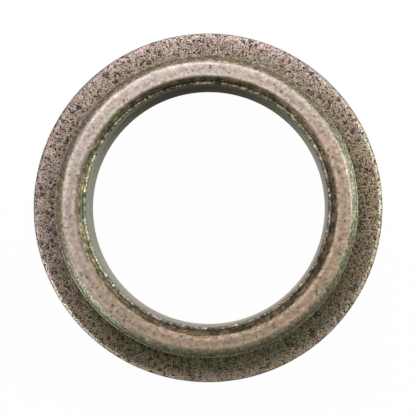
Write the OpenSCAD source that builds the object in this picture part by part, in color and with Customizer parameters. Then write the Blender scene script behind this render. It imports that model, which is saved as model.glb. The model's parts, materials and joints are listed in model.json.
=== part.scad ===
// Flanged bushing of porous sintered bronze, pressed and sized as one piece.
// It stands on its flange: z = 0 is the flange's back face, and the sleeve points up along +Z.

/* [Bore] */
// Diameter of the sized running bore
bore_d = 20; // [8:0.5:60]
// Radial width of the chamfer at each mouth of the bore
mouth_chamfer = 0.5; // [0.2:0.05:0.9]
// Width of the flat ledge between the mouth chamfer and the bore
mouth_land = 0.2; // [0.05:0.05:0.4]

/* [Sleeve] */
// Wall thickness of the sleeve
sleeve_wall = 2.5; // [1.6:0.1:6]
// Overall length, from the flange's back face to the sleeve's end
length = 20; // [8:0.5:60]
// Radial width of the lead-in chamfer round the sleeve's end
nose_chamfer = 0.5; // [0.2:0.05:0.9]
// Width of the flat ledge between the lead-in chamfer and the outside
nose_land = 0.15; // [0.05:0.05:0.4]

/* [Flange] */
// How far the flange stands out beyond the sleeve
flange_overhang = 2.5; // [1:0.1:10]
// Thickness of the flange
flange_t = 2.5; // [1:0.1:5]
// Width of the chamfer on both edges of the flange's rim
rim_chamfer = 0.25; // [0.1:0.05:0.45]
// Radius of the fillet where the sleeve meets the flange
root_fillet = 0.3; // [0.1:0.05:0.8]

/* [Pressing tools] */
// Angle of every chamfer, measured from the face it cuts
chamfer_angle = 45; // [30:5:60]

/* [Hidden] */
bore_r = bore_d / 2;
sleeve_r = bore_r + sleeve_wall;
flange_r = sleeve_r + flange_overhang;
bronze = [0.66, 0.57, 0.49];
past = 0.1;          // how far a cut runs beyond the surface it opens
$fn = 180;

// Depth of a chamfer of the given radial width
function chamfer_depth(width) = width * tan(chamfer_angle);

// Corner cut on the outside of a revolved edge, with its corner at the origin and metal below
// and to the left. The ledge is the flat that the punch leaves between the chamfer and the wall.
module edge_cut(width, ledge) {
    depth = chamfer_depth(width);
    polygon([
        [-ledge - width, 0],
        [-ledge, -depth],
        [past, -depth],
        [past, past],
        [-ledge - width, past],
    ]);
}

// Inside corner at the origin, filled to a quarter circle that is tangent to both walls
module root_fill(radius) {
    difference() {
        translate([-past, -past])
            square(radius + past);
        translate([radius, radius])
            circle(r = radius);
    }
}

// Half section of the pressing: sleeve and flange in one, right of the axis
module half_section() {
    difference() {
        union() {
            translate([bore_r, 0])
                square([sleeve_wall, length]);
            translate([bore_r, 0])
                square([sleeve_wall + flange_overhang, flange_t]);
            translate([sleeve_r, flange_t])
                root_fill(root_fillet);
        }
        // lead-in at the sleeve's end, outside
        translate([sleeve_r, length])
            edge_cut(nose_chamfer, nose_land);
        // mouths of the bore, at the sleeve's end and at the flange's back
        translate([bore_r, length])
            mirror([1, 0])
                edge_cut(mouth_chamfer, mouth_land);
        translate([bore_r, 0])
            mirror([1, 0])
                mirror([0, 1])
                    edge_cut(mouth_chamfer, mouth_land);
        // front and back edges of the flange's rim
        translate([flange_r, flange_t])
            edge_cut(rim_chamfer, 0);
        translate([flange_r, 0])
            mirror([0, 1])
                edge_cut(rim_chamfer, 0);
    }
}

// The whole bushing, one solid of revolution
module bushing() {
    color(bronze)
        rotate_extrude()
            half_section();
}

bushing();
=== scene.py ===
import json
import math

import bmesh
import bpy
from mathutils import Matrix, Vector, noise


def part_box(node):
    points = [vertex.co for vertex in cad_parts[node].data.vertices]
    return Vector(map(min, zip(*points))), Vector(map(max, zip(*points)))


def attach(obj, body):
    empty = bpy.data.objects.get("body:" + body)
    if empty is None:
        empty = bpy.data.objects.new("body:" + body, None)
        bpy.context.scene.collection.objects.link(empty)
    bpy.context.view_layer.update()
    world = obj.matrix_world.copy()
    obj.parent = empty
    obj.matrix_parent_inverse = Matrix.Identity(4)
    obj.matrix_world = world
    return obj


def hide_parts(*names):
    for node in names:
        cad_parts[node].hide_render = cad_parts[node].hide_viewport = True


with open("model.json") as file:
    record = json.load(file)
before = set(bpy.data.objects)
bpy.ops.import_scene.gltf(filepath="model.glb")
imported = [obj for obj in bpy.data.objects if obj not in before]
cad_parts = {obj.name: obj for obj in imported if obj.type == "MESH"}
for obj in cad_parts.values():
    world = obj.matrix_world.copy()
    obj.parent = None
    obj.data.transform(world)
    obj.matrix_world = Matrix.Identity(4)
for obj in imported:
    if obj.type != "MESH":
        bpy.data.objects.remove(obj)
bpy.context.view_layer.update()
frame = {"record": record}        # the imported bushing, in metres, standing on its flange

mm = 0.001
mounts = {mount["name"]: mount for mount in frame["record"]["mounts"]}
lowest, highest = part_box("bushing")
print("frame: bushing", [round((b - a) / mm, 2) for a, b in zip(lowest, highest)], "mm")


# Sizes of the pressing in mm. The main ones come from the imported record, the fine ones are the look's own.
bushing = {
    "boreR": mounts["bore"]["dims"]["r_mm"],
    "sleeveR": mounts["sleeve_outside"]["dims"]["r_mm"],
    "flangeR": highest[1] / mm,
    "top": highest[2] / mm,
    "flangeT": mounts["flange_shoulder"]["pos_m"][2] / mm,
    "mouthLand": 0.20,
    "noseLand": 0.15,
    "mouthChamfer": 0.50,
    "noseChamfer": 0.46,
    "rimChamfer": 0.25,
    "rootFillet": 0.30,
    "mouthEdge": 0.12,       # rounding where the end face meets the mouth's chamfer
    "noseEdge": 0.20,        # and where it meets the nose's, which is worn rounder
    "rimEdge": 0.07,
    "lipEdge": 0.09,         # where the outer ledge meets the sleeve
    "crispEdge": 0.04,       # rounding at the inner ledge and at the sized walls
    "turnSteps": 230,        # of the spin round the axis
    "fineCuts": 3,           # extra cuts round the axis where the front shows
    "frontMargin": 0.05,     # how far past the front's edges these cuts reach
    "fineStep": 0.085,       # steps along the section: in front, on the rim, the walls and the back
    "rimStep": 0.20,
    "wallStep": 0.80,
    "backStep": 0.35,
    "mouthRing": 0.15,       # a ring this far below the mouth keeps its edge crisp
    "crispCuts": 3,          # cuts of a rounding, and of one that is wider than softFrom
    "softCuts": 5,
    "softFrom": 0.1,
    "level": 1e-4,           # two ends this close in height and radius make an edge round the axis
}
bushing["mouthTop"] = bushing["top"] - bushing["mouthChamfer"]
bushing["noseTop"] = bushing["top"] - bushing["noseChamfer"]


def profileCorners(sizes):
    # corners of the half section, anticlockwise: radius, height, rounding, and the step after the corner
    mouthR = sizes["boreR"] + sizes["mouthLand"]
    faceR = mouthR + sizes["mouthChamfer"]
    rimR, lipR = sizes["flangeR"] - sizes["rimChamfer"], sizes["sleeveR"] - sizes["noseLand"]
    fine, wall, back = sizes["fineStep"], sizes["wallStep"], sizes["backStep"]
    soft, crisp = sizes["rimEdge"], sizes["crispEdge"]
    return [
        (faceR, 0, soft, back),
        (rimR, 0, soft, fine),
        (sizes["flangeR"], sizes["rimChamfer"], crisp, sizes["rimStep"]),
        (sizes["flangeR"], sizes["flangeT"] - sizes["rimChamfer"], crisp, fine),
        (rimR, sizes["flangeT"], soft, fine),
        (sizes["sleeveR"], sizes["flangeT"], sizes["rootFillet"], wall),
        (sizes["sleeveR"], sizes["noseTop"], sizes["lipEdge"], fine),
        (lipR, sizes["noseTop"], crisp, fine),
        (lipR - sizes["noseChamfer"], sizes["top"], sizes["noseEdge"], fine),
        (faceR, sizes["top"], sizes["mouthEdge"], fine),
        (mouthR, sizes["mouthTop"], crisp, fine),
        (sizes["boreR"], sizes["mouthTop"], crisp, fine),
        (sizes["boreR"], sizes["mouthTop"] - sizes["mouthRing"], crisp, wall),
        (sizes["boreR"], sizes["mouthChamfer"], crisp, fine),
        (mouthR, sizes["mouthChamfer"], crisp, fine),
    ]


def stretchStep(point, stretches):
    # the step of the stretch of the section that a point lies on
    def away(stretch):
        a, b = stretch[:2]
        along = b - a
        t = max(0, min(1, (point - a).dot(along) / along.length_squared))
        return (point - a - along * t).length

    return min(stretches, key=away)[2]


def goesRound(edge, sizes):
    a, b = (v.co for v in edge.verts)
    return abs(a.z - b.z) < sizes["level"] and abs(a.xy.length - b.xy.length) < sizes["level"]


def showsFront(edge, sizes):
    # the flange from its rim to the root fillet, and the sleeve's end
    point, margin = edge.verts[0].co, sizes["frontMargin"]
    low = sizes["flangeT"] - sizes["rimChamfer"] - margin
    high = sizes["flangeT"] + sizes["rootFillet"] + margin
    onFlange = low < point.z < high and point.xy.length > sizes["sleeveR"] - margin
    return onFlange or point.z > sizes["noseTop"] - 2 * margin


def spinSkin(sizes):
    # one closed wire, its corners rounded and its stretches cut, spun round the axis
    bm = bmesh.new()
    radii, heights, roundings, steps = zip(*profileCorners(sizes))
    ends = [Vector((radius, 0, height)) for radius, height in zip(radii, heights)]
    verts = [bm.verts.new(end) for end in ends]
    for a, b in zip(verts, verts[1:] + verts[:1]):
        bm.edges.new((a, b))
    for vert, rounding in zip(verts, roundings):
        cuts = sizes["crispCuts"] if rounding < sizes["softFrom"] else sizes["softCuts"]
        bmesh.ops.bevel(bm, geom=[vert], offset=rounding, segments=cuts, profile=0.5,
                        affect="VERTICES", material=-1)
    stretches = list(zip(ends, ends[1:] + ends[:1], steps))
    for edge in list(bm.edges):
        middle = (edge.verts[0].co + edge.verts[1].co) / 2
        cuts = round(edge.calc_length() / stretchStep(middle, stretches)) - 1
        if cuts > 0:
            bmesh.ops.subdivide_edges(bm, edges=[edge], cuts=cuts)
    bmesh.ops.spin(bm, geom=bm.verts[:] + bm.edges[:], cent=(0, 0, 0), axis=(0, 0, 1),
                   angle=2 * math.pi, steps=sizes["turnSteps"], use_merge=True)
    # the front of the flange and the sleeve's end get a finer turn, because their pits are real
    front = [e for e in bm.edges if goesRound(e, sizes) and showsFront(e, sizes)]
    bmesh.ops.subdivide_edges(bm, edges=front, cuts=sizes["fineCuts"], use_grid_fill=True)
    bmesh.ops.recalc_face_normals(bm, faces=bm.faces)
    bm.normal_update()
    return bm


# Relief of the pressed powder, in mm. Shares say how much of it a calmer zone has.
powderRelief = {
    "poreCell": 0.30,
    "poreR": 0.072,
    "poreDepth": 0.035,
    "porous": 0.30,          # share of the cells that hold a pore
    "smallest": 0.4,         # radius of the smallest pore, as a share of poreR
    "poreFloor": 0.4,        # share of a pore's radius that is flat
    "endPores": 0.2,
    "slopePores": 0.35,
    "waveSize": 0.8,
    "wave": 0.022,
    "endWaves": 0.3,
    "grainSize": 0.12,
    "grain": 0.006,
    "wallCalm": 0.9,         # share of the grain that the sizing took off the bore's wall
    "endCalm": 0.6,          # and that the punch took off the end face
    "dentSize": 0.7,
    "dent": 0.035,
    "dentRise": (0.2, 0.55),      # noise at which a dent starts and is full
    "landSize": 0.33,        # the notches of the inner ledge
    "landWave": 0.05,
    "landRise": (-0.1, 0.35),
    "offCentre": 0.06,       # how far the bore was pressed off the sleeve's axis
    "faceShift": (0.04, -0.03),    # and the end face between its two chamfers
    "sizeSeed": 31.7,        # each seed gives chances of its own
    "chanceSeed": 17.3,
    "dentSeed": (7, 3, 1),
    "landSeed": (2, 9, 4),
}

# Where each zone of the relief starts and where it is full, in mm past its edge
reliefFades = {
    "low": (0.5, 0.4),       # share of the length, from the flange's back
    "flange": (0.1, 0.4),    # out from the bore's wall
    "end": (-0.05, -0.01),
    "slopes": (-0.02, 0.1),
    "ledge": (-0.08, -0.02),
    "ledgeOut": (0.25, 0.2),
    "wall": (0.05, 0.01),
    "offCentre": (1.0, 0.6),
}


def smooth(start, full, value):
    t = max(0.0, min(1.0, (value - start) / (full - start)))
    return t * t * (3 - 2 * t)


def poreDepth(point, relief):
    # round hollows about scattered points, each of its own size
    away, centres = noise.voronoi(point / relief["poreCell"])
    if noise.cell(centres[0] * relief["chanceSeed"]) > relief["porous"]:
        return 0.0
    size = relief["smallest"] + (1 - relief["smallest"]) * noise.cell(centres[0] * relief["sizeSeed"])
    return smooth(1.0, relief["poreFloor"], away[0] * relief["poreCell"] / (relief["poreR"] * size))


def zonesAt(point, sizes, fades):
    # how much a point belongs to each zone, from 0 to 1
    out = point.xy.length - sizes["boreR"]
    end = smooth(*fades["end"], point.z - sizes["top"])
    return {
        "flange": smooth(*fades["low"], point.z / sizes["top"]) * smooth(*fades["flange"], out),
        "end": end,
        "slopes": smooth(*fades["slopes"], point.z - sizes["noseTop"]) * (1 - end),
        "ledge": smooth(*fades["ledge"], point.z - sizes["mouthTop"]) * smooth(*fades["ledgeOut"], out),
        "wall": smooth(*fades["wall"], out),
    }


def liftAt(point, at, hollow, relief):
    # how far the powder stands out at a point: soft waves, grains, dents, notches in the ledge and pores
    waves = max(at["slopes"], relief["endWaves"] * at["end"])
    wave = noise.noise(point / relief["waveSize"]) * relief["wave"] * waves
    calm = (1 - relief["wallCalm"] * at["wall"]) * (1 - relief["endCalm"] * at["end"])
    grain = noise.noise(point / relief["grainSize"]) * relief["grain"] * calm
    dent = noise.noise(point / relief["dentSize"] + Vector(relief["dentSeed"]))
    dent = smooth(*relief["dentRise"], dent) * relief["dent"] * at["slopes"]
    notch = noise.noise(point / relief["landSize"] + Vector(relief["landSeed"]))
    notch = smooth(*relief["landRise"], notch) * relief["landWave"] * at["ledge"]
    return wave + grain - dent - notch - hollow * relief["poreDepth"]


def pressOffCentre(point, sizes, relief, fades):
    # the bore and the end face sit a little off the sleeve's axis, and no point leaves the CAD box
    radius = point.xy.length
    point.x += relief["offCentre"] * smooth(*fades["offCentre"], radius - sizes["boreR"])
    onFace = smooth(sizes["noseTop"], sizes["top"], point.z)
    point.x += relief["faceShift"][0] * onFace
    point.y += relief["faceShift"][1] * onFace
    if radius > sizes["flangeR"]:
        point.xy *= sizes["flangeR"] / radius
    point.z = max(0, min(sizes["top"], point.z))


def weather(bm, sizes, relief, fades):
    # moves every point along its normal, and notes its pit and its radius for the material
    pit = bm.verts.layers.float.new("pit")
    across = bm.verts.layers.float.new("across")
    moves = []
    for v in bm.verts:
        at = zonesAt(v.co, sizes, fades)
        elsewhere = relief["endPores"] * at["end"] + relief["slopePores"] * at["slopes"]
        hollow = poreDepth(v.co, relief) * min(1.0, at["flange"] + elsewhere) * (1 - at["wall"])
        v[pit] = hollow
        v[across] = v.co.xy.length
        moves.append(v.normal * liftAt(v.co, at, hollow, relief))
    for v, move in zip(bm.verts, moves):
        v.co += move
        pressOffCentre(v.co, sizes, relief, fades)


def makeBushing(sizes, relief, fades):
    bm = spinSkin(sizes)
    weather(bm, sizes, relief, fades)
    bmesh.ops.scale(bm, vec=(mm, mm, mm), verts=bm.verts)
    for face in bm.faces:
        face.smooth = True
    mesh = bpy.data.meshes.new("bushing_skin")
    bm.to_mesh(mesh)
    bm.free()
    skin = bpy.data.objects.new("bushing_skin", mesh)
    bpy.context.collection.objects.link(skin)
    print("bushing_skin:", sum(len(face.vertices) - 2 for face in mesh.polygons), "triangles")
    return skin


class Wire:
    # wraps one output socket, so that sums on sockets read as plain sums
    def __init__(self, tree, socket):
        self.tree, self.socket = tree, socket

    def node(self, kind, settings=None, inputs=None, output=0):
        made = self.tree.nodes.new(kind)
        for name, value in (settings or {}).items():
            if name == "stops":
                ramp = made.color_ramp
                while len(ramp.elements) < len(value):
                    ramp.elements.new(0.5)
                for element, (place, colour) in zip(ramp.elements, value):
                    element.position = place
                    element.color = (*colour, 1)
            else:
                setattr(made, name, value)
        for name, value in (inputs or {}).items():
            if isinstance(value, Wire):
                self.tree.links.new(value.socket, made.inputs[name])
            else:
                made.inputs[name].default_value = value
        return Wire(self.tree, made.outputs[output] if made.outputs else None)

    def maths(self, operation, *values):
        return self.node("ShaderNodeMath", {"operation": operation}, dict(enumerate(values)))

    def __add__(self, other):
        return self.maths("ADD", self, other)

    def __radd__(self, other):
        return self.maths("ADD", other, self)

    def __sub__(self, other):
        return self.maths("SUBTRACT", self, other)

    def __rsub__(self, other):
        return self.maths("SUBTRACT", other, self)

    def __mul__(self, other):
        return self.maths("MULTIPLY", self, other)

    def __rmul__(self, other):
        return self.maths("MULTIPLY", other, self)

    def rise(self, start, full):
        # 0 at start, 1 at full, smooth between; it falls where start is the larger
        return self.node("ShaderNodeMapRange", {"interpolation_type": "SMOOTHSTEP"},
                         {"Value": self, "From Min": start, "From Max": full})

    def within(self, inside, outside):
        # 1 inside a ring, soft on both sides
        return self.rise(*inside) * self.rise(*outside)

    def mix(self, first, second):
        # self is the factor between two colours: sockets 6 and 7 of a Mix node, whose output 2 is a colour
        return self.node("ShaderNodeMix", {"data_type": "RGBA"},
                         {0: self, 6: asColour(first), 7: asColour(second)}, 2)

    def tint(self, other, share=1.0):
        # this colour times another one, as far as share says
        return self.node("ShaderNodeMix", {"data_type": "RGBA", "blend_type": "MULTIPLY"},
                         {0: share, 6: self, 7: asColour(other)}, 2)

    def ramp(self, stops):
        # a colour for each place from 0 to 1
        return self.node("ShaderNodeValToRGB", {"stops": stops}, {"Fac": self})

    def along(self, tones):
        # a colour for each distance in mm
        first, last = tones[0][0], tones[-1][0]
        stops = [((distance - first) / (last - first), colour) for distance, colour in tones]
        return ((self - first) * (1 / (last - first))).ramp(stops)

    def spread(self, by, around):
        # a vector times one, plus another
        return self.node("ShaderNodeVectorMath", {"operation": "MULTIPLY_ADD"}, {0: self, 1: by, 2: around})


def asColour(value):
    return (*value, 1) if isinstance(value, tuple) else value


def grey(value):
    return (value, value, value, 1)


def newMaterial(name):
    # an empty material, and a wire to start its nodes from
    material = bpy.data.materials.new(name)
    material.use_nodes = True
    material.node_tree.nodes.clear()
    return material, Wire(material.node_tree, None)


# Which way each tint, painted light and painted shade faces: degrees round the axis from +X towards +Y,
# and how far that way from the axis it starts and is full, in mm
sides = {
    "stained": (-54.0, -11.1, 11.1),
    "shade": (-93.9, -2.7, 12.81),
    "rimFront": (-67.9, 7.51, 14.4),
    "wornRight": (6.9, 11.13, 12.23),
    "wornLeft": (218.0, 11.5, 12.1),
    "left": (180.0, 4.5, 9.5),
    "ledgeLeft": (195.0, 5.0, 10.0),
    "ledgeBack": (105.0, 8.0, 9.5),
    "creaseLeft": (140.0, 8.0, 10.0),
    "wideLeft": (180.0, 9.5, 10.3),
    "wideFront": (300.0, 6.0, 9.0),
    "lipFront": (300.0, 4.2, 9.2),
    "edgeRight": (0.0, 11.2, 11.8),
    "borderRight": (37.6, -12.2, 12.2),
    "oil": (95.1, 1.99, 11.65),
    "wallFront": (270.0, -1.0, 8.0),
}


class Spot:
    # where a point of the skin lies, in mm, and the patterns that its finishes draw on
    def __init__(self, start, sizes, shake):
        self.start = start
        place = start.node("ShaderNodeTexCoord", output="Object")
        self.place = start.node("ShaderNodeVectorMath", {"operation": "SCALE"}, {0: place, "Scale": 1 / mm})
        self.x, self.y, self.z = (start.node("ShaderNodeSeparateXYZ", inputs={0: self.place}, output=axis)
                                  for axis in "XYZ")
        radius = self.noted("across")
        self.out = radius - sizes["boreR"]             # from the bore's wall
        self.beyond = radius - sizes["sleeveR"]        # from the sleeve's outside
        self.fromRim = sizes["flangeR"] - radius
        self.shaken = self.speck(shake["size"], hued=True).spread((shake["reach"],) * 3, self.place)

    def noted(self, name):
        # a number that the mesh holds for each of its points
        return self.start.node("ShaderNodeAttribute", {"attribute_name": name}, output="Fac")

    def speck(self, size, detail=1.0, rough=0.5, hued=False, where=None):
        # soft noise whose patches are about size mm apart, as a number or as a colour
        return self.start.node("ShaderNodeTexNoise", {"noise_dimensions": "3D"},
                               {"Vector": where or self.place, "Scale": 1 / size, "Detail": detail,
                                "Roughness": rough}, "Color" if hued else "Fac")

    def swing(self, size, detail=1.0, rough=0.5):
        # the same noise about zero
        return self.speck(size, detail, rough) - 0.5

    def chances(self, cell, count):
        # random numbers for each grain or dot
        made = self.start.node("ShaderNodeTexVoronoi", {"feature": "F1"},
                               {"Vector": self.shaken, "Scale": 1 / cell}, "Color")
        return [self.start.node("ShaderNodeSeparateColor", inputs={0: made}, output=part)
                for part in ("Red", "Green", "Blue")[:count]]

    def dots(self, cell, radii, size, edge):
        # round dots about scattered points; size, from 0 to 1, picks the radius of each
        away = self.start.node("ShaderNodeTexVoronoi", {"feature": "F1"},
                               {"Vector": self.shaken, "Scale": 1 / cell})
        radius = (radii[0] + (radii[1] - radii[0]) * size) * (1 / cell)
        return away.rise(radius * edge[0], radius * edge[1])

    def side(self, name):
        # a stain or wear that faces one way
        degrees, start, full = sides[name]
        turn = math.radians(degrees)
        return (self.x * math.cos(turn) + self.y * math.sin(turn)).rise(start, full)


# Loose powder of the flange and the sleeve. Colours are linear tints, distances are in mm.
powder = {
    "grain": 0.072,
    "grainTones": ((0.066, 0.052, 0.036), (0.172, 0.141, 0.109), (0.289, 0.231, 0.183),
                   (0.396, 0.316, 0.258), (0.65, 0.57, 0.475)),
    "toneShares": (0.8, 0.35, 0.10),      # of each grain's own tone and of wide clouds, and the lowest tone
    "wideClouds": (0.9, 3.0, 0.6),        # spacing, detail and roughness of a noise, here and below
    # out from the sleeve, over the flange to its rim: darker next to the sleeve as painted shade, and a
    # bright band on the rim's edge, partly burnished and partly a painted highlight
    "flangeTones": ((0.45, (0.86, 0.84, 0.75)), (0.65, (0.82, 0.80, 0.73)), (1.15, (1.04, 1.03, 0.98)),
                    (1.50, (1.10, 1.08, 1.05)), (2.10, (1.32, 1.30, 1.35)), (2.22, (1.66, 1.65, 1.72)),
                    (2.35, (1.76, 1.76, 1.80)), (2.43, (1.42, 1.42, 1.43)), (2.49, (1.0, 0.98, 0.95))),
    "flangePatina": ((1.01, 1.0, 1.05), (1.0, 1.0, 0.83)),      # at the back left and towards the front right
    "lowDown": (1.3, 0.3),                # over the flange
    "rootPatina": (0.86, 1.0, 0.90),      # painted shade: greener and darker near the root fillet, on the shaded front
    "rootReach": (1.4, 0.4),
    # painted light: the flange lighter near its rim on the front
    "rimPatina": (1.38, 1.32, 1.40),
    "rimReach": ((1.1, 0.5), (0.15, 0.35)),
    "rimShadow": (0.55, 0.50, 0.52),      # the upper edge of the rim's side
    "rimShadowReach": (0.07, 0.03),
    "rimShadowHeight": (-0.6, -0.4),      # from the flange's front
    "sleeve": (1.17, 1.09, 1.14),         # the sleeve's outside, above the root
    "cloud": (0.72, 0.77, 0.72),
    "cloudNoise": (1.2, 2.0),
    "cloudRise": (0.50, 0.64),
    "cloudReach": (0.6, 1.2),
    "cloudShares": (0.12, 0.88),          # everywhere, and more on the shaded side
}


def powderColour(spot, finish, sizes):
    tone = spot.chances(finish["grain"], 1)[0]
    ownShare, wideShare, lowestTone = finish["toneShares"]
    wide = spot.swing(*finish["wideClouds"])
    stops = [(n / (len(finish["grainTones"]) - 1), colour) for n, colour in enumerate(finish["grainTones"])]
    colour = (ownShare * tone + wideShare * wide + lowestTone).ramp(stops)
    # painted shade next to the sleeve, and a bright rim edge that is partly a painted highlight
    colour = colour.tint(spot.beyond.along(finish["flangeTones"]))
    colour = colour.tint(spot.side("stained").mix(*finish["flangePatina"]))
    lowDown = (spot.z - sizes["flangeT"]).rise(*finish["lowDown"])
    shade = spot.side("shade")
    # painted shade near the root on the front
    colour = colour.tint(finish["rootPatina"], shade * spot.beyond.rise(*finish["rootReach"]) * lowDown)
    # painted light near the rim on the front
    nearRim = spot.fromRim.within(*finish["rimReach"])
    colour = colour.tint(finish["rimPatina"], spot.side("rimFront") * nearRim)
    rimHeight = (spot.z - sizes["flangeT"]).rise(*finish["rimShadowHeight"])
    colour = colour.tint(finish["rimShadow"], spot.fromRim.rise(*finish["rimShadowReach"]) * rimHeight)
    colour = colour.tint(finish["sleeve"], 1 - lowDown)
    # wide darker clouds on the flange: a mottle, gathered on the shaded front as painted shade
    everywhere, shaded = finish["cloudShares"]
    clouds = spot.speck(*finish["cloudNoise"]).rise(*finish["cloudRise"]) * (everywhere + shaded * shade)
    clouds = clouds * lowDown * spot.fromRim.rise(*finish["cloudReach"])
    return colour.tint(finish["cloud"], clouds), tone


# The sleeve's end: burnished face, dull chamfers and bright ledges. Distances are in mm out from the bore's
# wall, and a pair says where something starts and where it is full.
sleeveEnd = {
    "depth": (-0.12, -0.06),         # from the mouth's ledge
    "inner": (0.75, 0.60),           # the mouth's chamfer and ledge
    "outer": (1.85, 2.00),           # the nose's
    "ledge": (0.20, 0.17),           # the mouth's ledge alone
    # from the bore to the sleeve's outside: ledge, crease, chamfer, face, chamfer, ledge. The crease's dark
    # is painted shade, the chamfers' dark is partly an oily patina and partly painted shade, and the face's
    # lighter borders are painted light on its roundings
    "tones": ((-0.06, (0.14, 0.132, 0.098)), (-0.01, (0.25, 0.24, 0.175)), (0.05, (0.33, 0.315, 0.235)),
              (0.11, (0.26, 0.245, 0.18)), (0.16, (0.135, 0.122, 0.09)), (0.19, (0.075, 0.058, 0.044)),
              (0.23, (0.075, 0.058, 0.044)), (0.27, (0.145, 0.13, 0.09)), (0.36, (0.135, 0.12, 0.08)),
              (0.56, (0.155, 0.13, 0.085)), (0.69, (0.275, 0.205, 0.14)), (0.80, (0.365, 0.285, 0.22)),
              (0.87, (0.45, 0.355, 0.28)), (1.00, (0.465, 0.37, 0.295)), (1.20, (0.40, 0.31, 0.25)),
              (1.46, (0.405, 0.315, 0.258)), (1.62, (0.48, 0.377, 0.316)), (1.86, (0.505, 0.415, 0.343)),
              (1.98, (0.34, 0.29, 0.21)), (2.08, (0.215, 0.19, 0.13)), (2.30, (0.18, 0.157, 0.107)),
              (2.38, (0.18, 0.158, 0.11)), (2.46, (0.21, 0.19, 0.135)), (2.49, (0.30, 0.27, 0.20))),
    "unevenNoise": (0.36, 3.0, 0.6),
    "uneven": 0.32,                  # how far the borders between the rings wander
    "unevenReach": ((0.25, 0.45), (2.4, 2.2)),
    # the punch sat off to the back: the ledge's shift for each mm of y, and its shift where y is 0
    "pressed": (0.0066, 0.072),
    "pressedReach": (0.62, 0.35),
    "wideLeft": 0.11,                # how much wider the mouth's chamfer is there
    "wideFront": 0.04,
    "wideReach": ((0.35, 0.50), (1.3, 0.9)),
    "worn": (1.24, 1.35, 1.42),      # painted highlight: two places, at the right and the lower left, where the nose is lit bright
    "wornWidth": 0.03,               # how much wider the face is there
    "wornReach": ((1.6, 1.8), (2.3, 2.15)),
    "wornTintReach": (2.0, 2.13),
    "faceNoise": (0.30, 3.0, 0.68),
    "faceMottle": ((0.28, (0.50, 0.51, 0.55)), (0.38, (0.76, 0.77, 0.80)), (0.50, (1.0, 1.0, 1.0)),
                   (0.70, (1.36, 1.34, 1.30))),
    "slopeNoise": (0.26, 3.0, 0.7),
    "slopeMottle": ((0.30, (0.42, 0.42, 0.44)), (0.42, (0.74, 0.76, 0.76)), (0.52, (1.0, 1.0, 1.0)),
                    (0.72, (1.95, 2.02, 1.80))),
    "ledgeNoise": (0.24, 1.0),       # short bright dashes, with wider gaps between groups of them
    "ledgeGaps": (1.6, 1.0),
    "ledgeGapShare": 0.5,
    "ledgeMottle": ((0.42, (0.54, 0.51, 0.48)), (0.50, (0.97, 0.95, 0.93)), (0.60, (1.42, 1.41, 1.36))),
    "ledgeTint": (1.0, 1.01, 0.98),
    # painted light on the ledge at the left, and painted shade at its back
    "ledgeLeft": (1.30, 1.32, 1.35),
    "ledgeBack": (0.62, 0.60, 0.57),
    "patchNoise": (0.70, 2.0),       # patches on the mouth's chamfer
    "patches": ((0.38, (0.50, 0.59, 0.60)), (0.46, (0.80, 0.80, 0.80)), (0.54, (1.08, 1.0, 0.96)),
                (0.64, (1.50, 1.34, 1.25))),
    # tints at the back left and towards the front right
    "facePatina": ((0.93, 1.0, 1.05), (1.05, 1.0, 0.84)),
    "nosePatina": ((1.09, 1.0, 1.06), (0.99, 1.0, 0.86)),
    "mouthPatina": ((1.0, 1.01, 0.91), (1.06, 0.975, 1.0)),
    # painted light on the mouth's chamfer at the left
    "mouthLeft": (1.15, 1.22, 1.19),
    "creaseLeft": (1.70, 1.80, 1.85),      # painted light where the mouth's ledge meets its chamfer, at the upper left
    "creaseReach": ((0.12, 0.17), (0.50, 0.40)),
    "footLeft": (1.48, 1.50, 1.36),        # painted light on the lowest part of that chamfer, at the left
    "footReach": ((0.24, 0.30), (0.50, 0.38)),
    "border": ((1.09, 1.09, 1.09), (0.91, 0.91, 0.91)),      # painted light and shade on the outer border of the face, left and right
    "borderReach": (1.55, 1.75),
    "edgeRight": (0.76, 0.77, 0.80),       # painted shade where the face meets the nose's chamfer at the right, toning down its highlight
    "edgeReach": ((1.72, 1.88), (2.15, 2.02)),
    "lipFront": (1.31, 1.37, 1.60),        # painted highlight where it meets the mouth's, in front
    "lipReach": ((0.72, 0.80), (1.02, 0.92)),
    "speck": (0.38, 0.30, 0.33),           # small dark specks on the face
    "speckCell": 0.48,
    "speckR": (0.05, 0.145),
    "speckEdge": (1.3, 0.3),         # shares of its radius where a speck starts and is full
}


def endZones(spot, finish):
    # where the painted highlights, the mouth's side, the face and the ledge lie, and how far the ledge is
    # pressed
    worn = spot.start.maths("MAXIMUM", spot.side("wornRight"), spot.side("wornLeft"))
    inner = spot.out.rise(*finish["inner"])
    outer = (spot.out - finish["wornWidth"] * worn).rise(*finish["outer"])
    tilt, atAxis = finish["pressed"]
    pressed = spot.y * tilt + atAxis
    ledge = (spot.out - pressed).rise(*finish["ledge"])
    return {"worn": worn, "inner": inner, "face": (1 - inner) * (1 - outer), "ledge": ledge,
            "pressed": pressed * spot.out.rise(*finish["pressedReach"])}


def mouthTint(spot, finish, pressed):
    # the mouth's chamfer: a tint by side, patches, and painted light on it, its crease and its foot at the
    # left
    tint = spot.side("stained").mix(*finish["mouthPatina"]).tint(finish["mouthLeft"], spot.side("left"))
    tint = tint.tint(spot.speck(*finish["patchNoise"]).ramp(finish["patches"]))
    inside, outside = finish["creaseReach"]
    crease = (spot.out - pressed).rise(*inside) * spot.out.rise(*outside) * spot.side("creaseLeft")
    inside, outside = finish["footReach"]
    foot = (spot.out - pressed).rise(*inside) * spot.out.rise(*outside) * spot.side("ledgeLeft")
    return tint.tint(finish["creaseLeft"], crease).tint(finish["footLeft"], foot)


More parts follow.
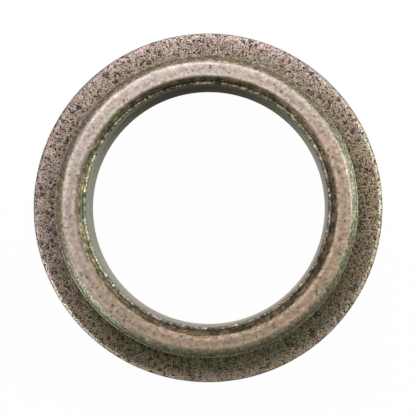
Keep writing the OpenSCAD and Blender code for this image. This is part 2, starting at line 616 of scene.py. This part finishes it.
def ledgeTint(spot, finish):
    # the dashes, with painted light at the left and painted shade at the back
    dashes = spot.speck(*finish["ledgeNoise"]) + finish["ledgeGapShare"] * spot.swing(*finish["ledgeGaps"])
    fromLeft = spot.side("ledgeLeft").mix(finish["ledgeTint"], finish["ledgeLeft"])
    fromBack = spot.side("ledgeBack").mix(fromLeft, finish["ledgeBack"])
    return dashes.ramp(finish["ledgeMottle"]).tint(fromBack)


def endColour(spot, finish, stains, at):
    worn, face, pressed = at["worn"], at["face"], at["pressed"]
    uneven = spot.swing(*finish["unevenNoise"]) * finish["uneven"] * spot.out.within(*finish["unevenReach"])
    wider = spot.side("wideLeft") * finish["wideLeft"] + spot.side("wideFront") * finish["wideFront"]
    wider = wider * spot.out.within(*finish["wideReach"])
    # the face reaches a little further out under the nose's painted highlights
    highlightOut = worn * finish["wornWidth"] * spot.out.within(*finish["wornReach"])
    colour = (spot.out + uneven - pressed - wider - highlightOut).along(finish["tones"])
    faceMottle = spot.speck(*finish["faceNoise"]).ramp(finish["faceMottle"])
    colour = colour.tint(face.mix(stains.ramp(finish["slopeMottle"]), faceMottle))
    colour = colour.tint(ledgeTint(spot, finish), at["ledge"])
    # tints by side of the chamfers and the face, and the painted highlights on the nose
    stained = spot.side("stained")
    bright = worn * spot.out.rise(*finish["wornTintReach"])
    noseTint = stained.mix(*finish["nosePatina"]).tint(finish["worn"], bright)
    slopeTint = at["inner"].mix(noseTint, mouthTint(spot, finish, pressed))
    colour = colour.tint(face.mix(slopeTint, stained.mix(*finish["facePatina"])))
    # painted light and shade on the face's outer border, painted shade at its edge at the right, and a
    # painted highlight on the mouth's lip in front
    border = spot.out.rise(*finish["borderReach"]) * face
    colour = colour.tint(spot.side("borderRight").mix(*finish["border"]), border)
    edge = spot.side("edgeRight") * spot.out.within(*finish["edgeReach"])
    colour = colour.tint(finish["edgeRight"], edge)
    lip = (spot.out + uneven - wider).within(*finish["lipReach"])
    colour = colour.tint(finish["lipFront"], lip * spot.side("lipFront"))
    # small dark specks on the burnished face
    size = spot.chances(finish["speckCell"], 1)[0]
    specks = spot.dots(finish["speckCell"], finish["speckR"], size, finish["speckEdge"])
    return colour.tint(finish["speck"], specks * face)


# The sized wall of the bore: smooth, with painted shade on its back
boreWall = {
    "out": (0.07, 0.03),             # from the wall
    "depth": (-0.02, -0.05),         # from the mouth's ledge
    # up the wall from the flange's back, darker towards the top as painted shade
    "tones": ((3.0, (0.47, 0.425, 0.355)), (9.0, (0.47, 0.425, 0.355)), (12.0, (0.43, 0.39, 0.325)),
              (15.0, (0.35, 0.315, 0.26)), (18.5, (0.28, 0.25, 0.205)), (19.4, (0.24, 0.215, 0.175))),
    "shine": (0.47, 0.66),           # at the back and in front
    "left": ((0.97, 1.05, 0.94), (0.88, 0.92, 0.82)),        # at the left, low down and near the mouth, where it is darker as painted shade
    "leftRise": (9.0, 18.0),
    # painted shade: the back of the wall darker and less metallic, weaker towards the mouth
    "oilFilm": (0.235, 0.225, 0.17),
    "oilDulls": 0.88,
    "oilThins": (12.0, 19.0, 0.65),  # from this height to that, by this share
    "ringNoise": (1.0, 3.0),
    "ringStretch": (0.25, 0.25, 3.0),      # the noise is drawn out round the bore and packed along it
    "ringTones": ((0.35, (0.86, 0.85, 0.84)), (0.65, (1.14, 1.15, 1.16))),
    "closedPore": (0.30, 0.27, 0.25),
    "closedRise": (0.45, 0.40),
    "closedShare": 0.7,
}


def wallColour(spot, finish, pores, chance):
    # the colour of the wall and how metallic it is
    # painted shade on the back of the wall
    backShaded = spot.side("oil")
    atBack, inFront = finish["shine"]
    shine = (atBack + (inFront - atBack) * spot.side("wallFront")) * (1 - finish["oilDulls"] * backShaded)
    start, full, share = finish["oilThins"]
    shadeStrength = backShaded * (1 - share * spot.z.rise(start, full))
    # painted shade: darker towards the top of the wall and on its back
    colour = spot.z.along(finish["tones"]).tint(finish["oilFilm"], shadeStrength)
    # painted shade near the mouth at the left
    colour = colour.tint(spot.z.rise(*finish["leftRise"]).mix(*finish["left"]), spot.side("left"))
    # faint rings and a few closed pores that the sizing left
    rings = spot.speck(*finish["ringNoise"], where=spot.place.spread(finish["ringStretch"], (0, 0, 0)))
    closed = pores * chance.rise(*finish["closedRise"]) * finish["closedShare"]
    return colour.tint(rings.ramp(finish["ringTones"])).tint(finish["closedPore"], closed), shine


# What all finishes of the sintered bronze share
bronze = {
    "shake": {"size": 0.11, "reach": 0.07},      # noise that keeps grains and dots from being round
    "pore": (0.016, 0.014, 0.013),
    "poreCell": 0.145,
    "poreR": (0.018, 0.098),
    "poreEdge": (1.2, 0.7),          # shares of its radius where a pore starts and is full
    "porous": 0.82,                  # share of the cells that hold a pore
    "porousEdge": 0.02,
    "gathering": (1.7, 0.65),        # how far apart the patches of pores are, and how marked
    "endPores": (0.5, 0.4),          # shares of the pores that the end lacks, and its face besides
    "pitRise": (0.5, 1.3),           # share of a real pore's depth where its black starts and is full
    # noise that tints single grains and wide areas: spacing, reach and middle of each colour
    "jitter": (0.145, (0.6, 0.48, 0.85), (0.70, 0.76, 0.575)),
    "drift": (1.3, (0.24, 0.12, 0.32), (0.88, 0.94, 0.84)),
    "faceCalm": 0.35,                # share of the drift that the burnished face lacks
    "roughness": 0.58,
    "faceSmoother": 0.05,
    "wallSmoother": 0.08,
    "poreRougher": 0.2,
    "metallic": 0.85,
    "bumpHeight": 0.00002,           # metres
    "bumpStrength": 0.35,
    "grainHeight": 0.5,
}


def sinteredBronze(finish, sizes):
    material, start = newMaterial("sintered bronze")
    spot = Spot(start, sizes, finish["shake"])
    at = endZones(spot, sleeveEnd)
    onEnd = (spot.z - sizes["mouthTop"]).rise(*sleeveEnd["depth"])
    onWall = spot.out.rise(*boreWall["out"]) * (spot.z - sizes["mouthTop"]).rise(*boreWall["depth"])

    # pores of many sizes, which gather in patches
    size, chance = spot.chances(finish["poreCell"], 2)
    spacing, marked = finish["gathering"]
    held = chance - marked * spot.swing(spacing)
    pores = spot.dots(finish["poreCell"], finish["poreR"], size * size, finish["poreEdge"])
    most, soft = finish["porous"], finish["porousEdge"]
    pores = pores * held.rise(most + soft, most - soft)
    endLacks, faceLacks = finish["endPores"]
    openPores = pores * (1 - onEnd * (endLacks + faceLacks * at["face"]))
    black = start.maths("MAXIMUM", spot.noted("pit").rise(*finish["pitRise"]), openPores)

    stains = spot.speck(*sleeveEnd["slopeNoise"])
    colour, tone = powderColour(spot, powder, sizes)
    colour = onEnd.mix(colour, endColour(spot, sleeveEnd, stains, at))
    burnished = onEnd * at["face"]
    for name, share in (("jitter", 1.0), ("drift", 1 - finish["faceCalm"] * burnished)):
        spacing, reach, middle = finish[name]
        colour = colour.tint(spot.speck(spacing, hued=True).spread(reach, middle), share)
    colour = black.mix(colour, finish["pore"])
    sized, shine = wallColour(spot, boreWall, pores, chance)
    colour = onWall.mix(colour, sized)
    black = black * (1 - onWall)

    height = (tone * (1 - onEnd) + stains) * finish["grainHeight"] - black
    bump = start.node("ShaderNodeBump", inputs={
        "Height": height * (1 - onWall),
        "Distance": finish["bumpHeight"],
        "Strength": finish["bumpStrength"],
    })
    smoother = finish["faceSmoother"] * burnished + finish["wallSmoother"] * onWall
    shader = start.node("ShaderNodeBsdfPrincipled", inputs={
        "Base Color": colour,
        "Roughness": finish["roughness"] - smoother + finish["poreRougher"] * black,
        "Metallic": (1 - black) * (finish["metallic"] + onWall * (shine - finish["metallic"])),
        "Specular IOR Level": 0.0,
        "Normal": bump,
    })
    start.node("ShaderNodeOutputMaterial", inputs={"Surface": shader})
    return material


studio = {
    "floorR": 1.2,           # metres
    "floorSides": 96,
    "floorWhite": 0.93,
    "showThrough": 0.98,     # share of the floor that is plain white to the camera
    "ambient": 0.04,
}


def makeFloor(room):
    bm = bmesh.new()
    bmesh.ops.create_circle(bm, cap_ends=True, segments=room["floorSides"], radius=room["floorR"])
    mesh = bpy.data.meshes.new("floor")
    bm.to_mesh(mesh)
    bm.free()
    floor = bpy.data.objects.new("floor", mesh)
    bpy.context.collection.objects.link(floor)
    material, start = newMaterial("white sweep")
    camera, glossy, through = (start.node("ShaderNodeLightPath", output=name)
                               for name in ("Is Camera Ray", "Is Glossy Ray", "Is Transmission Ray"))
    seen = start.maths("MINIMUM", camera + glossy + through, 1.0) * room["showThrough"]
    plain = start.node("ShaderNodeBsdfDiffuse", inputs={"Color": grey(room["floorWhite"])})
    white = start.node("ShaderNodeEmission", inputs={"Color": grey(1), "Strength": 1.0})
    mixed = start.node("ShaderNodeMixShader", inputs={0: seen, 1: plain, 2: white})
    start.node("ShaderNodeOutputMaterial", inputs={"Surface": mixed})
    mesh.materials.append(material)


# Each lamp faces the part. Direction and height over the horizon in degrees, distance and size in mm,
# power in watts.
lamps = {
    "top": {"around": 95, "up": 60, "away": 90, "wide": 60, "tall": 50, "watts": 0.0389,
            "colour": (1.0, 0.98, 1.02)},
    "top left": {"around": 150, "up": 60, "away": 90, "wide": 60, "tall": 50, "watts": 0.0218,
                 "colour": (1.0, 0.98, 1.02)},
    "top right": {"around": 45, "up": 60, "away": 90, "wide": 60, "tall": 50, "watts": 0.0113,
                  "colour": (1.0, 0.98, 1.02)},
    "right": {"around": 8, "up": 24, "away": 150, "wide": 60, "tall": 30, "watts": 0.16,
              "colour": (0.91, 1.0, 1.06)},
    "lower left": {"around": 214, "up": 15, "away": 110, "wide": 40, "tall": 24, "watts": 0.054,
                   "colour": (0.91, 1.0, 1.05)},
    "back strip": {"around": 92, "up": 6, "away": 45, "wide": 50, "tall": 8, "watts": 0.0054,
                   "colour": (1.0, 1.0, 1.0)},
}


def makeLamps(rig):
    for name, one in rig.items():
        light = bpy.data.lights.new(name, "AREA")
        light.shape = "RECTANGLE"
        light.size, light.size_y = one["wide"] * mm, one["tall"] * mm
        light.energy = one["watts"]
        light.color = one["colour"]
        lamp = bpy.data.objects.new(name, light)
        around, up = math.radians(one["around"]), math.radians(one["up"])
        outwards = Vector((math.cos(around) * math.cos(up), math.sin(around) * math.cos(up), math.sin(up)))
        lamp.location = outwards * one["away"] * mm
        lamp.rotation_euler = (-outwards).to_track_quat("-Z", "Y").to_euler()
        lamp.visible_camera = False
        bpy.context.collection.objects.link(lamp)


def makeWorld(room):
    world = bpy.data.worlds.new("studio")
    world.use_nodes = True
    world.node_tree.nodes["Background"].inputs["Color"].default_value = grey(room["ambient"])
    bpy.context.scene.world = world


view = {
    "place": (3.25, -3.6, 415.0),     # mm, a little to the right of the axis and in front of it
    "aim": (0.0, -0.013, 2.25),       # mm
    "lens": 415.5,
    "nearest": 0.01,                  # metres
}


def makeCamera(shot):
    camera = bpy.data.objects.new("camera", bpy.data.cameras.new("camera"))
    camera.data.lens = shot["lens"]
    camera.data.clip_start = shot["nearest"]
    camera.location = Vector(shot["place"]) * mm
    # it looks almost straight down, with +Y up in the picture
    aim = (Vector(shot["aim"]) - Vector(shot["place"])).normalized()
    camera.rotation_euler = (math.asin(aim.y), math.atan2(-aim.x, -aim.z), 0)
    bpy.context.collection.objects.link(camera)
    bpy.context.scene.camera = camera


print("stage: skin of the bushing")
skin = makeBushing(bushing, powderRelief, reliefFades)
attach(skin, "root")
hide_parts("bushing")

print("stage: sintered bronze")
skin.data.materials.append(sinteredBronze(bronze, bushing))

print("stage: floor, lamps and camera")
makeFloor(studio)
makeLamps(lamps)
makeWorld(studio)
makeCamera(view)
bpy.context.scene.view_settings.view_transform = "Standard"
